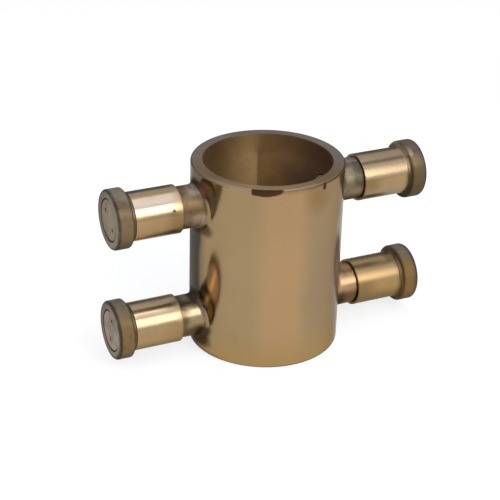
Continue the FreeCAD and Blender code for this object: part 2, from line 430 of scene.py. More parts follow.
neckFinish = dict(
    upperLeft=(0.178, 0.110, 0.049),
    upperRight=(0.235, 0.176, 0.098),
    lower=(0.325, 0.228, 0.116),
    lowerRight=(0.405, 0.245, 0.106),
    moss=(0.098, 0.080, 0.042),  # on top of the upper right neck
    dusk=(0.125, 0.092, 0.044),  # a band across its middle
    light=(0.262, 0.186, 0.112),  # painted highlight on the lower half of the upper left neck
    lightest=(0.430, 0.318, 0.205),  # brighter painted highlight, by the root and along the top edge; also on top of the upper right neck
    under=(0.115, 0.074, 0.035),  # painted shade on undersides, brown
    ragged=8.0,
    gloss=(0.25, 0.48),  # lower pair, upper pair
    brownBand=(2.4, 7.0),  # heights above the arm's axis
    lightBelow=(-2.0, 3.0),
    topEdge=(9.8, 12.0),
    duskBand=(-1.5, 4.5),
    mossAbove=(-3.0, 1.5),
    mossBand=(11.2, 12.8),
    crownAbove=(12.6, 13.2),
    darkBelow=(-9.5, -4.0),
    underBelow=(-1.5, 4.0),
    leftLower=2.2,  # the painted underside shade stops this much lower on the left
    outerPart=(sleeveStart - 9.0, sleeveStart - 4.0),  # places along the arm
    ringPart=(sleeveStart - 6.0, sleeveStart - 2.0),
    footPart=(tubeRadius + 3.0, tubeRadius + 8.0),
)


def neckColour(board, at):
    # the upper pair is dull, each neck in its own way; the lower pair is polished on top; painted shade
    # underneath
    look = neckFinish
    up = at.up
    left = 1 - at.right
    drift = at.wander(look["ragged"])
    dull = board.mix(left, look["upperRight"], look["upperLeft"])
    brown = board.band(up + drift * 0.3, *look["brownBand"], 1.0) * left
    dull = board.mix(brown * 0.42, dull, look["under"])
    dull = board.mix(board.fade(up + drift, *look["lightBelow"], 0.8) * left, dull, look["light"])
    outer = board.step(abs(at.x) + drift * 0.4, *look["outerPart"])
    # painted highlights along the lower half and the top edge of the upper left neck
    near = board.fade(up + drift, *look["lightBelow"], 0.9).larger(board.step(up, *look["topEdge"], end=0.7))
    dull = board.mix(near * left * (1 - outer), dull, look["lightest"])
    dusk = board.band(up + drift, *look["duskBand"], 2.0) * at.right * (0.42 - 0.22 * outer)
    dull = board.mix(dusk, dull, look["dusk"])
    moss = board.step(up + drift, *look["mossAbove"]) * outer * 0.95
    moss = moss.larger(board.band(up, *look["mossBand"], 0.5) * 0.7)
    dull = board.mix(moss * at.right, dull, look["moss"])
    # painted highlight on top of the upper right neck
    dull = board.mix(board.step(up, *look["crownAbove"], end=0.45) * at.right, dull, look["lightest"])
    # painted shade under the upper right necks, under the lower necks, in a ring by the lower left sleeve
    # and at the foot by the wall
    dull = board.mix(board.fade(up + drift * 0.4, *look["darkBelow"], 0.9) * at.right, dull, look["under"])
    under = board.fade(up + drift + left * look["leftLower"], *look["underBelow"])
    ring = board.step(abs(at.x) + drift * 0.2, *look["ringPart"]) * left
    polished = board.mix(left, look["lowerRight"], look["lower"])
    polished = board.mix(under.larger(ring * 0.8) * 0.92, polished, look["under"])
    foot = board.fade(abs(at.x) + drift * 0.5, *look["footPart"]) * under
    polished = board.mix(foot * 0.7, polished, bronze["stainAndShade"])
    colour = board.mix(at.upper, polished, dull)
    spots = board.step(at.fine, 0.48, 0.72, end=0.35) * (1 + at.upper * at.right * 0.7)
    return board.mix(spots, colour, bronze["grimeAndShade"])


rootFinish = dict(
    reach=(2.3, 6.3),  # distances from the boss
    reachRagged=8.0,
    bossClear=(0.2, 1.1),
    crease=(0.5, 1.6),
    creaseSoft=0.5,
    creaseRagged=1.5,
    collar=(4.5, 7.5),  # along the boss from the wall
    collarRagged=5.0,
    clearedFrom=(2.0, 4.5),
    cleared=(1.4, 3.8),  # how much higher the painted shade starts on the lower left boss
    trimmedFrom=(0.0, 6.0),  # heights above the arm's axis
    over=(5.5, 9.5),
    beneath=(1.5, 5.0),  # depth below the arm's axis
    heightRagged=4.0,
    rightHigher=4.8,
    upperDeeper=8.5,
)


def rootShadeAndCrease(board, at):
    # painted shade round the foot of each boss, over it and beneath it, and a dark line in the crease
    look = rootFinish
    fromBoss = at.fromArm - bossRadius
    lowerLeft = (1 - at.upper) * (1 - at.right)
    trimmed = lowerLeft * board.step(at.up, *look["trimmedFrom"])
    root = board.fade(fromBoss + trimmed + at.wander(look["reachRagged"]), *look["reach"])
    root = root * board.step(fromBoss, *look["bossClear"]) * at.outside
    wallOut = (tubeRadius * tubeRadius - at.y * at.y).larger(0.0) ** 0.5
    gap = abs(at.x) - wallOut  # along the arm from the wall
    collar = board.fade(gap + at.wander(look["collarRagged"]), *look["collar"], 0.9) * at.neck
    cleared = board.step(gap, *look["clearedFrom"], *look["cleared"]) * lowerLeft
    over = at.up - at.upper - at.right * look["rightHigher"] - cleared
    over = board.step(over + at.wander(look["heightRagged"]), *look["over"])
    beneath = at.up * -1.0 - at.upper * look["upperDeeper"]
    beneath = board.step(beneath + at.wander(look["heightRagged"]), *look["beneath"])
    shaded = over.larger(beneath)
    root = (root * (0.12 + 0.83 * shaded)).larger(collar * shaded * (1 - at.upper * 0.8)) * at.outside
    crease = board.band(fromBoss + at.wander(look["creaseRagged"]), *look["crease"], look["creaseSoft"])
    crease = crease * at.outside * at.neck * board.step(at.fine, 0.35, 0.55, 0.45, 0.9)
    return root.larger(crease * (1 - at.upper * (0.3 + 0.5 * at.right)))


boreFinish = dict(
    left=(0.258, 0.144, 0.046),
    band=(0.83, 0.50, 0.195),  # painted light, a lit stripe
    right=(0.41, 0.225, 0.082),
    farRight=(0.142, 0.075, 0.047),
    mouth=(0.085, 0.046, 0.015),  # darker towards the rim
    bandFrom=-36.0,  # places across the tube
    bandEdge=-6.8,
    rightAcross=(-2.0, 34.0),
    blurHeights=(104.0, 120.0),
    blur=(0.7, 7.0),  # width of the stripe's border, low and high
    mouthHeights=(88.0, 122.0),
    ragged=6.0,
    bare=0.45,
    gloss=0.42,
)


def boreColour(board, at):
    # painted light and shade inside the bore: a lit stripe from one side, a shaded side beyond its one sharp
    # border, which blurs towards the mouth
    look = boreFinish
    drift = at.wander(look["ragged"])
    litBand = board.step(at.across + drift, look["bandFrom"], look["bandEdge"])
    colour = board.mix(litBand, look["left"], look["band"])
    spread = board.step(at.across + drift, *look["rightAcross"])
    stainAndShade = board.mix(spread, look["right"], look["farRight"])
    blur = board.step(at.z, *look["blurHeights"], *look["blur"])
    edge = at.across + drift * 0.3 - look["bandEdge"]
    colour = board.mix(board.step(edge, blur * -1.0, blur), colour, stainAndShade)
    colour = board.mix(board.step(at.z + drift, *look["mouthHeights"], end=0.6), colour, look["mouth"])
    return board.mix(board.step(at.cloud, 0.40, 0.70, end=0.35), colour, look["mouth"])


rimFinish = dict(
    face=(0.315, 0.228, 0.136),  # turned end face
    brown=(0.262, 0.170, 0.072),  # warmer and brighter towards the front
    front=(0.43, 0.260, 0.112),  # cleaner on the side that is handled
    rounding=(0.250, 0.172, 0.098),  # its outer edge, painted darker to hold back its highlight
    roundingShade=(0.115, 0.074, 0.034),  # the same edge further right, painted darker still
    foot=(0.118, 0.102, 0.074),  # lower edge, darker at the left
    gloss=0.38,
    roundingGloss=0.50,
    roundingShadeAcross=(-4.0, 14.0),
    footHeights=(0.8, 4.2),
    footAcross=(-40.0, -18.0),
    brownAhead=(-6.0, 22.0),
    frontAhead=(30.0, 44.0),
    ragged=12.0,
    marks=dict(
        frontStain=dict(middle=(-1.6, 121.3), size=(12.2, 3.15), strength=0.97, cut=-9.2),
        trace=dict(middle=(20.0, 120.2), size=(11.0, 1.6), strength=0.15),
        nick=dict(middle=(34.5, 119.7), size=(1.25, 2.5), strength=0.92),
    ),
)


def rimColour(board, at, wall, rounding, ends):
    # the rounded edges, painted darker, the darker foot and the end faces, laid over the wall's colour
    look = rimFinish
    edging = board.mix(board.step(at.across, *look["roundingShadeAcross"]), look["rounding"], look["roundingShade"])
    colour = board.mix(rounding * 0.85, wall, edging)
    foot = board.fade(at.z, *look["footHeights"]) * board.fade(at.across, *look["footAcross"], 0.9)
    colour = board.mix(foot * at.frontHalf * at.outside, colour, look["foot"])
    forward = at.ahead + at.wander(look["ragged"])
    face = board.mix(board.step(forward, *look["brownAhead"]), look["face"], look["brown"])
    face = board.mix(board.step(forward, *look["frontAhead"]), face, look["front"])
    return board.mix(ends, colour, face)


facing = (-0.447, -0.894)  # plan direction that places across the tube are measured from

tubeZones = dict(
    bore=(40.2, 40.9),  # distances from the tube's axis
    lip=(40.5, 40.8),
    rimFront=(46.1, 46.7),
    neck=(48.3, 49.6),
    endFace=(middleHeight - 0.35, middleHeight - 0.1),  # distances from mid-height
    rounding=(middleHeight - 1.7, middleHeight - 0.8),
    lipEnd=(middleHeight - 0.75, middleHeight - 0.45),
    frontHalf=(0.0, 5.0),  # ahead of the axis
)


def tubeBronze():
    zones = tubeZones
    board = Board(bpy.data.materials.new("tubeBronze"))
    at = Spot(board, wallFinish["cloud"], wallFinish["fine"])
    # places and zones that the tube's colours share
    at.fromMiddle = abs(at.z - middleHeight)
    at.ahead = at.x * facing[0] + at.y * facing[1]
    at.across = at.y * facing[0] - at.x * facing[1]
    radius = (at.x * at.x + at.y * at.y) ** 0.5

    bore = board.fade(radius, *zones["bore"])
    at.outside = 1 - bore
    at.neck = board.step(radius, *zones["neck"])
    at.frontHalf = board.step(at.ahead, *zones["frontHalf"])
    ends = board.step(at.fromMiddle, *zones["endFace"]) * at.outside
    rounding = board.step(at.fromMiddle, *zones["rounding"]) * at.outside

    colour, darkEdgeReflection = wallColour(board, at)
    colour = board.mix(at.neck, colour, neckColour(board, at))
    # painted shade in the corners round each boss
    root = rootShadeAndCrease(board, at)
    corner = board.mix(board.step(at.fine, 0.42, 0.6), bronze["grimeAndShade"], bronze["cornerShade"])
    colour = board.mix(root, colour, corner)
    oxide = 0.0
    for mark in wallFinish["blots"].values():
        shown = blot(board, at, mark) * at.frontHalf * at.outside * (1 - at.neck)
        colour = board.mix(shown, colour, bronze[mark["colour"]])
        oxide = (shown * mark["film"]).larger(oxide)
    colour = rimColour(board, at, colour, rounding, ends)
    colour = board.mix(bore, colour, boreColour(board, at))
    # painted shade on the bore's mouth edge
    lip = board.step(at.fromMiddle, *zones["lipEnd"]) * board.fade(radius, *zones["lip"])
    colour = board.mix(lip * 0.75, colour, bronze["stainAndShade"])
    marks = 0.0
    for mark in rimFinish["marks"].values():
        marks = blot(board, at, mark).larger(marks)
    marks = marks * at.frontHalf * board.step(radius, *zones["rimFront"])
    colour = board.mix(marks, colour, bronze["stainAndShade"])

    gloss = wallFinish["gloss"]
    polished, worn = neckFinish["gloss"]
    streak = board.noise(at.place, *wallFinish["streaks"])
    roughness = gloss + 0.09 * board.step(streak, 0.4, 0.7) + 0.20 * darkEdgeReflection
    roughness = roughness + at.neck * (polished - gloss) + at.neck * at.upper * (worn - polished)
    roughness = roughness + root * 0.2 + marks * 0.3 + rounding * (rimFinish["roundingGloss"] - gloss)
    roughness = roughness + ends * (rimFinish["gloss"] - rimFinish["roundingGloss"])
    roughness = roughness + bore * (boreFinish["gloss"] - gloss)
    section = board.node("ShaderNodeCombineXYZ", inputs={0: radius, 1: 0.0, 2: at.z})
    lathe = board.noise(section, *wallFinish["lathe"])
    scuff = board.noise(at.place, *bronze["scuff"])
    turned = lathe * (0.10 + ends + 0.6 * bore) + scuff * (0.15 + 0.9 * at.neck * at.upper)
    uneven = board.bump(board.noise(at.place, *wallFinish["buffing"]), 0.35, bronze["swellDepth"])
    normal = board.bump(turned, 0.25, bronze["grainDepth"], uneven)
    bare = 1 - (bore * (1 - boreFinish["bare"])).larger(oxide)
    return board.finish(metal(board, colour, roughness, normal, bronze["edge"], bare))


knobShape = dict(
    boreRadius=13.7,
    sleeveRadius=15.2,
    beadRadius=15.8,
    beadWidth=1.8,
    beadSlope=0.6,
    flangeThickness=10.1,
    nutPocketRadius=13.6,
    nutPocketDepth=5.0,
    stemHoleRadius=3.45,
    endWall=14.4,
    boreEdge=0.25,  # edge roundings
    sleeveEdge=0.5,
    beadFoot=0.4,
    beadEdge=0.5,
    beadCorner=0.45,
    flangeBackEdge=1.2,
    flangeFrontEdge=1.6,
    sectors=128,
)

flangeBack = knobShape["flangeThickness"]  # distances back from the knob's end face
beadBack = flangeBack + knobShape["beadWidth"]
pocketRadius = knobShape["nutPocketRadius"]

knobFinish = dict(
    sleeve=(0.390, 0.260, 0.124),
    golden=(0.388, 0.238, 0.088),  # sleeve of the lower right knob
    litBand=(0.435, 0.298, 0.146),  # painted highlight band along the upper right sleeve
    pale=(0.385, 0.285, 0.178),  # painted highlight band along the upper left sleeve
    darkReflectionLine=(0.270, 0.172, 0.078),  # painted dark reflection line above the highlight band
    topHighlight=(0.560, 0.390, 0.195),  # painted highlight along the top of the lower left sleeve
    shadedUnderside=((0.345, 0.216, 0.098), (0.246, 0.154, 0.060)),  # painted shade on the underside by the neck, lower left and the rest
    below=((0.215, 0.150, 0.072), (0.340, 0.262, 0.160)),  # painted reflection on the lowest stretch, lower pair (darker) and upper pair (paler)
    flange=dict(  # dull, with an olive cast on the left and browner on the right
        upper_left=(0.248, 0.168, 0.081), lower_left=(0.262, 0.172, 0.072),
        upper_right=(0.170, 0.117, 0.048), lower_right=(0.285, 0.172, 0.062)),
    # painted lighter top
    flangeTop=(0.265, 0.208, 0.126),
    flangeCrown=(0.172, 0.128, 0.088),  # painted darker top of the upper right one
    # painted highlight on the upper right one
    flangeGold=(0.440, 0.320, 0.170),
    flangeEnd=(0.140, 0.106, 0.072),  # painted shade underneath, and a painted dark reflection towards the end face on the right pair
    flangeShade=(0.115, 0.080, 0.036),
    # painted shade in the groove before the flange and on the sleeve beside it
    bead=(0.055, 0.040, 0.018),
    faceUpper=(0.345, 0.295, 0.222),
    faceLower=(0.345, 0.298, 0.230),
    cloud=(70.0, 4.0, 0.6),
    fine=(260.0, 4.0, 0.65),
    streaks=(120.0, 3.0, 0.55, (0.15, 1.0, 1.0)),  # drawn out along the arm
    rings=(2.4, 2.0, 0.6),
    gloss=0.21,
    flangeGloss=0.70,
    underBelow=(3.0, 9.0),  # heights above the arm's axis
    highlightBand=(4.0, 11.2),
    darkReflectionBand=(12.1, 13.2),
    paleBand=(7.0, 12.6),
    topHighlightBand=(12.3, 14.6),
    lowestBelow=(-12.0, -4.0),
    rightHigher=4.0,
    shadeBand=(11.5, 16.5),
    crownAbove=(12.5, 18.0),
    endBelow=(-13.0, -4.0),
    goldBand=(14.0, 17.4),
    sheenBand=(8.5, 14.5),
    beadAbove=(1.0, 9.0),
    besideBelow=(2.0, 8.0),
    topShadowAbove=(12.2, 14.0),
    lipPart=(sleeveStart + 0.4, sleeveStart + 1.4),  # places along the arm
    palePart=(sleeveStart + 2.0, sleeveStart + 11.0),
    shadedUndersidePart=(sleeveStart + 5.0, sleeveStart + 16.0),
    roughPart=(sleeveStart + 0.5, sleeveStart + 6.5),
    facePart=(0.1, 0.5),  # distances back from the end face
    frontPart=(0.8, 2.2),
    endPart=(1.8, 4.2),
    sheenPart=(2.0, 8.0),
    goldPart=(6.0, 8.5),
    flangePart=(flangeBack + 0.1, flangeBack + 0.5),
    beadPart=(beadBack + 0.2, beadBack + 0.8),
    besidePart=(beadBack, beadBack + 3.2),
    topShadowPart=(beadBack + 4.0, beadBack + 9.0),
    rearWithin=(0.5, 1.6),  # of the flange's back
    ringRadii=(pocketRadius, pocketRadius + 0.5),
    frontRadii=(15.4, 17.3),
    frontUpper=1.2,  # the dark edge, grime with a painted dark reflection, is this much narrower on the upper pair
    ringBack=(-6.0, 9.0),  # front to back
    pit=dict(point=(-68.5, -14.1, 104.7), core=0.35, size=1.7),  # in the upper left sleeve
)


def sleeveColour(board, at):
    # polished, with painted shade underneath by the neck, painted highlight bands and a painted dark
    # reflection line along it, and a painted reflection along the lowest stretch
    look = knobFinish
    up = at.up
    left = 1 - at.right
    lower = 1 - at.upper
    upperRight = at.right * at.upper
    colour = board.mix(board.step(at.cloud, 0.42, 0.75, end=0.7), look["sleeve"], bronze["deep"])
    colour = board.mix(at.right * lower * 0.85, colour, look["golden"])
    # painted shade on the underside towards the neck
    under = board.fade(up + at.wander(6.0), *look["underBelow"])
    inner = board.step(abs(at.x) + at.wander(8.0), *look["shadedUndersidePart"], 1.0, 0.15)
    colour = board.mix(under * inner * 0.9, colour, board.mix(at.upper.larger(at.right), *look["shadedUnderside"]))
    # painted highlight band on the upper right sleeve
    colour = board.mix(board.band(up, *look["highlightBand"], 1.2) * upperRight * 0.85, colour, look["litBand"])
    colour = board.mix(board.band(up, *look["darkReflectionBand"], 0.4) * upperRight * 0.8, colour, look["darkReflectionLine"])
    # painted highlight band on the upper left sleeve
    pale = board.band(up, *look["paleBand"], 1.2) * left * at.upper
    colour = board.mix(pale * board.step(abs(at.x), *look["palePart"]) * 0.9, colour, look["pale"])
    # painted highlight along the top of the lower left sleeve
    topHighlight = board.band(up, *look["topHighlightBand"], 0.5) * left * lower
    colour = board.mix(topHighlight * 0.9, colour, look["topHighlight"])
    # painted reflection along the lowest stretch
    lowest = board.fade(up - at.right * look["rightHigher"] + at.wander(4.0), *look["lowestBelow"], 0.8)
    return board.mix(lowest, colour, board.mix(at.upper, *look["below"]))


def flangeColour(board, at, along):
    # dull, with painted shade at the shoulders, a painted lighter top (darker on the upper right one),
    # painted shade underneath, a painted dark reflection towards the end face on the right pair and painted
    # highlights on the upper right one
    look = knobFinish
    tones = look["flange"]
    up = at.up
    lower = board.mix(at.right, tones["lower_left"], tones["lower_right"])
    upper = board.mix(at.right, tones["upper_left"], tones["upper_right"])
    dull = board.mix(at.upper, lower, upper)
    shade = board.band(up + at.wander(5.0), *look["shadeBand"], 1.5) * (1 - at.right)
    dull = board.mix(shade * (0.16 + 0.34 * at.upper), dull, look["flangeShade"])
    crown = board.mix(at.right * at.upper, look["flangeTop"], look["flangeCrown"])
    dull = board.mix(board.step(up + at.wander(8.0), *look["crownAbove"], end=0.8), dull, crown)
    ending = board.fade(along + at.wander(2.0), *look["endPart"], 0.75) * at.right
    ending = ending.larger(board.fade(up + at.wander(4.0), *look["endBelow"], 0.75))
    dull = board.mix(ending, dull, look["flangeEnd"])
    gold = board.band(up + at.wander(3.0), *look["goldBand"], 1.3) * board.step(along, *look["goldPart"])
    sheen = board.band(up, *look["sheenBand"], 2.0) * board.step(along, *look["sheenPart"], 0.12, 0.34)
    gold = (gold * 0.9).larger(sheen)
    return board.mix(gold * at.right * at.upper, dull, look["flangeGold"])


def knobBronze():
    look = knobFinish
    board = Board(bpy.data.materials.new("knobBronze"))
    at = Spot(board, look["cloud"], look["fine"])
    up = at.up
    upper = at.upper
    right = at.right
    along = knobEnd - abs(at.x)  # back from the end face

    flange = board.fade(along, *look["flangePart"])
    groove = board.fade(along, *look["beadPart"]) * (1 - flange)
    face = board.fade(along, *look["facePart"])
    ring = face * board.step(at.fromArm, *look["ringRadii"])
    frontFrom, frontTo = look["frontRadii"]
    front = board.step(at.fromArm, frontFrom + look["frontUpper"] * upper, frontTo)
    front = front * board.fade(along, *look["frontPart"])
    rear = board.fade(abs(along - flangeBack), *look["rearWithin"]) * flange
    lip = board.fade(abs(at.x), *look["lipPart"])

    colour = board.mix(flange, sleeveColour(board, at), flangeColour(board, at, along))
    # painted shade in the groove, lifted above the axis on the right pair where the bead catches light
    shadeLifted = right * board.step(up, *look["beadAbove"], 0.15, 0.45).larger(0.42 - 0.42 * upper)
    colour = board.mix(groove * (0.85 - shadeLifted), colour, look["bead"])
    # painted shadow on the sleeve beside the flange on the right pair, and along the top of the lower right
    # sleeve
    beside = board.fade(along, *look["besidePart"], 0.5) * (1 - flange) * right
    beside = beside * (0.8 + upper * (board.fade(up, *look["besideBelow"]) - 0.8))
    topShadow = board.step(up, *look["topShadowAbove"]) * board.fade(along, *look["topShadowPart"], 0.5)
    topShadow = topShadow * right * (1 - upper) * (1 - flange)
    colour = board.mix(beside.larger(topShadow), colour, look["bead"])
    colour = board.mix(face, colour, board.mix(upper, look["faceLower"], look["faceUpper"]))
    # darkened: grime with a painted dark reflection on the flange's front edge, painted shade at its back
    # edge, at the sleeve's inner end and round the nut pocket at the back, grime spots on the flange, and a
    # pit
    darkened = (front * (0.70 - 0.10 * upper)).larger(rear * (0.5 - 0.4 * right)).larger(lip * 0.3)
    darkened = darkened * board.step(at.fine, 0.30, 0.55, 0.6, 1.0)
    darkened = darkened.larger(flange * board.step(at.fine, 0.52, 0.76, end=0.35))
    darkened = darkened.larger(ring * board.step(at.y + at.wander(10.0), *look["ringBack"], end=0.3))
    pit = look["pit"]
    hole = board.near(at.place, [part * mm for part in pit["point"]], pit["core"] * mm, pit["size"] * mm)
    darkened = darkened.larger(hole * 0.9)
    colour = board.mix(darkened, colour, bronze["grimeAndShade"])

    streak = board.noise(at.place, *look["streaks"])
    roughness = look["gloss"] + flange * (look["flangeGloss"] - look["gloss"])
    roughness = roughness + 0.10 * board.step(streak, 0.42, 0.7) + darkened * 0.15 + groove * 0.2
    dulled = board.fade(abs(at.x), *look["roughPart"], 0.16) * (1 - right)  # rougher by the neck
    roughness = roughness + right * (0.09 - 0.05 * upper) + dulled
    section = board.node("ShaderNodeCombineXYZ", inputs={0: along, 1: 0.0, 2: 0.0})
    rings = board.noise(section, *look["rings"])
    scuff = board.noise(at.place, *bronze["scuff"])
    normal = board.bump(rings * 0.25 + scuff * (0.12 + 0.9 * flange), 0.25, bronze["grainDepth"])
    return board.finish(metal(board, colour, roughness, normal, bronze["edge"]))


capNutFinish = dict(
    faceUpper=(0.358, 0.292, 0.206),
    faceLower=(0.425, 0.362, 0.280),
    worn=(0.275, 0.226, 0.160),
    grimeAndShade=(0.06, 0.045, 0.03),
    edge=(0.6, 0.55, 0.5),
    cloud=(120.0, 5.0, 0.65),
    fine=(420.0, 4.0, 0.65),
    grain=(900.0, 3.0, 0.6),
    gloss=0.50,
    rim=(12.0, 12.9),  # distances from the arm's axis
)


def capNutBrass():
    look = capNutFinish
    board = Board(bpy.data.materials.new("capNutBrass"))
    at = Spot(board, look["cloud"], look["fine"])
    face = board.mix(at.upper, look["faceLower"], look["faceUpper"])
    colour = board.mix(board.step(at.cloud, 0.38, 0.72), face, look["worn"])
    darkened = board.step(at.fromArm, *look["rim"], end=0.7)
    darkened = darkened.larger(board.step(at.fine, 0.62, 0.72, end=0.6))
    colour = board.mix(darkened, colour, look["grimeAndShade"])
    roughness = look["gloss"] + 0.15 * board.step(at.cloud, 0.4, 0.7)
    normal = board.bump(board.noise(at.place, *look["grain"]), 0.12, bronze["grainDepth"])
    return board.finish(metal(board, colour, roughness, normal, look["edge"]))


innerNoise = dict(cloud=(110.0, 4.0, 0.6), grain=(1400.0, 2.0, 0.6))

innerFinishes = dict(  # pieces inside the bosses
    plunger=dict(
        name="plungerBronze", bright=(0.46, 0.32, 0.17), deep=(0.36, 0.24, 0.12), gloss=0.26,
        edge=(0.5, 0.45, 0.4)),
    bonnet=dict(
        name="bonnetBrass", bright=(0.55, 0.42, 0.20), deep=(0.45, 0.33, 0.15), gloss=0.28,
        edge=(0.5, 0.45, 0.4)),
    spring=dict(
        name="springSteel", bright=(0.42, 0.42, 0.43), deep=(0.33, 0.33, 0.34), gloss=0.30,
        edge=(0.6, 0.6, 0.6)),
)


def plainMetal(name, bright, deep, gloss, edge):
    board = Board(bpy.data.materials.new(name))
    place = board.place()
    cloud = board.noise(place, *innerNoise["cloud"])
    colour = board.mix(board.step(cloud, 0.4, 0.75), bright, deep)
    roughness = gloss + 0.12 * board.step(cloud, 0.45, 0.7)
    normal = board.bump(board.noise(place, *innerNoise["grain"]), 0.08, bronze["grainDepth"])
    return board.finish(metal(board, colour, roughness, normal, edge))


rubberFinish = dict(
    black=(0.022, 0.022, 0.023),
    dusty=(0.06, 0.058, 0.055),
    dust=(140.0, 5.0, 0.65),
    grain=(1800.0, 2.0, 0.6),
    grainDepth=0.0002,
    gloss=0.55,
)


def washerRubber():
    look = rubberFinish
    board = Board(bpy.data.materials.new("washerRubber"))
    place = board.place()
    dust = board.noise(place, *look["dust"])
    colour = board.mix(board.step(dust, 0.5, 0.8), look["black"], look["dusty"])
    roughness = look["gloss"] + 0.2 * board.step(dust, 0.4, 0.7)
    normal = board.bump(board.noise(place, *look["grain"]), 0.15, look["grainDepth"])
    return board.finish(board.node("ShaderNodeBsdfPrincipled", inputs={
        "Base Color": colour, "Roughness": roughness, "Normal": normal}))


finishes = {
    "tube": tubeBronze(),
    "knob": knobBronze(),
    "capNut": capNutBrass(),
    "washer": washerRubber(),
}
for piece, settings in innerFinishes.items():
    finishes[piece] = plainMetal(**settings)
print("finishes made:", len(finishes))


# Tube with its four bosses

tubeShape = dict(
    rimRound=1.6,
    mouthRadius=40.0,
    mouthChamfer=0.5,
    mouthDepth=13.0,
    seatRadius=39.8,
    seatTaper=3.5,
    socketDepth=37.0,
    grooveRadius=43.0,
    grooveWidth=8.5,
    waterwayRadius=32.0,
    waterwayChamfer=1.0,
    rootFillet=4.5,
    bossChamfer=0.8,
    chamberRadius=8.5,
    chamberFloor=47.0,
    toothHoleRadius=6.15,
    toothHoleHalfHeight=4.85,
    hold=0.2,  # close points that keep the flats beside an edge flat
    rimHold=0.3,
    rimPoints=10,
    gapRows=11,  # between the upper and lower patches
    filletRings=11,
    wallShares=(0.3, 0.6, 0.85, 0.96),  # where rings stand: along the tube in to the fillet
    bossShares=(0.02, 0.3, 0.65, 1.0),  # out along the boss
    chamberShares=(0.0, 0.35, 0.7, 1.0),  # in along the chamber
    touchRounds=30,  # to find where the fillet touches the tube
    sectors=320,  # round the tube
    patchSectors=20,  # half-width of the patch that a boss takes out of the tube
    patchHalfHeight=18.4,
    windowHalfHeight=6.4,
    patchRows=24,
)


def tubeOutline():
    # half-section of the tube: up the outside, over the rim, down the stepped bore and back under the lower
    # rim; returns (z, r) points and the outline numbers where each boss patch and tooth window starts
    shape = tubeShape
    top = tubeHeight
    rim = shape["rimRound"]
    hold = shape["hold"]
    quarter = np.radians(np.linspace(0, 90, shape["rimPoints"]))
    lowRim = np.stack([rim - rim * np.cos(quarter), tubeRadius - rim + rim * np.sin(quarter)], -1)
    patch = np.linspace(-shape["patchHalfHeight"], shape["patchHalfHeight"], shape["patchRows"] + 1)
    lowerPatch = armHeight["lower"] + patch
    upperPatch = armHeight["upper"] + patch
    gap = np.linspace(lowerPatch[-1], upperPatch[0], shape["gapRows"] + 1)[1:-1]
    wall = np.concatenate([[rim + hold], lowerPatch, gap, upperPatch, [top - rim - hold]])
    outside = np.stack([wall, np.full(len(wall), tubeRadius)], -1)
    highRim = np.stack([top - lowRim[::-1, 0], lowRim[::-1, 1]], -1)
    mouthEdge = top - shape["mouthChamfer"]
    mouthFoot = top - shape["mouthDepth"]
    mouth = [
        [top, tubeRadius - rim - shape["rimHold"]],
        [top, shape["mouthRadius"] + shape["mouthChamfer"] + hold],
        [top, shape["mouthRadius"] + shape["mouthChamfer"]],
        [mouthEdge, shape["mouthRadius"]],
        [mouthEdge - hold, shape["mouthRadius"]],
        [mouthFoot + hold, shape["mouthRadius"]],
        [mouthFoot, shape["mouthRadius"]],
        [mouthFoot - shape["seatTaper"], shape["seatRadius"]],
    ]
    window = np.linspace(-shape["windowHalfHeight"], shape["windowHalfHeight"], shape["patchRows"] + 1)
    seat = np.stack([armHeight["upper"] - window, np.full(len(window), shape["seatRadius"])], -1)
    seatFoot = top - shape["socketDepth"]
    shelf = seatFoot - shape["grooveWidth"]
    chamferFoot = shelf - shape["waterwayChamfer"]
    socketFoot = [
        [seatFoot + hold, shape["seatRadius"]],
        [seatFoot, shape["seatRadius"]],
        [seatFoot, shape["grooveRadius"]],
        [shelf, shape["grooveRadius"]],
        [shelf, shape["waterwayRadius"] + shape["waterwayChamfer"]],
        [chamferFoot, shape["waterwayRadius"]],
        [chamferFoot - hold, shape["waterwayRadius"]],
    ]
    upper = np.concatenate([mouth, seat, socketFoot])
    lower = np.stack([top - upper[::-1, 0], upper[::-1, 1]], -1)
    outline = np.concatenate([lowRim, outside, highRim, upper, lower])
    firstWall = len(lowRim) + 1
    firstUpper = len(lowRim) + len(outside) + len(highRim)
    starts = {
        "lower": (firstWall, len(outline) - 1 - (len(mouth) + shape["patchRows"])),
        "upper": (firstWall + shape["patchRows"] + 1 + len(gap), firstUpper + len(mouth)),
    }
    return outline, starts


def patchBorder(middle, start, falling, columns):
    # point numbers round a patch of the tube grid, from its low corner on the clockwise side:
    # along the low edge, up one side, back along the high edge and down the other side
    shape = tubeShape
    across = (middle + np.arange(-shape["patchSectors"], shape["patchSectors"] + 1)) % shape["sectors"]
    rows = start + np.arange(shape["patchRows"] + 1)
    if falling:
        rows = rows[::-1]
    grid = across[:, None] * columns + rows[None, :]
    return np.concatenate([grid[:-1, 0], grid[-1, :-1], grid[:0:-1, -1], grid[0, :0:-1]])


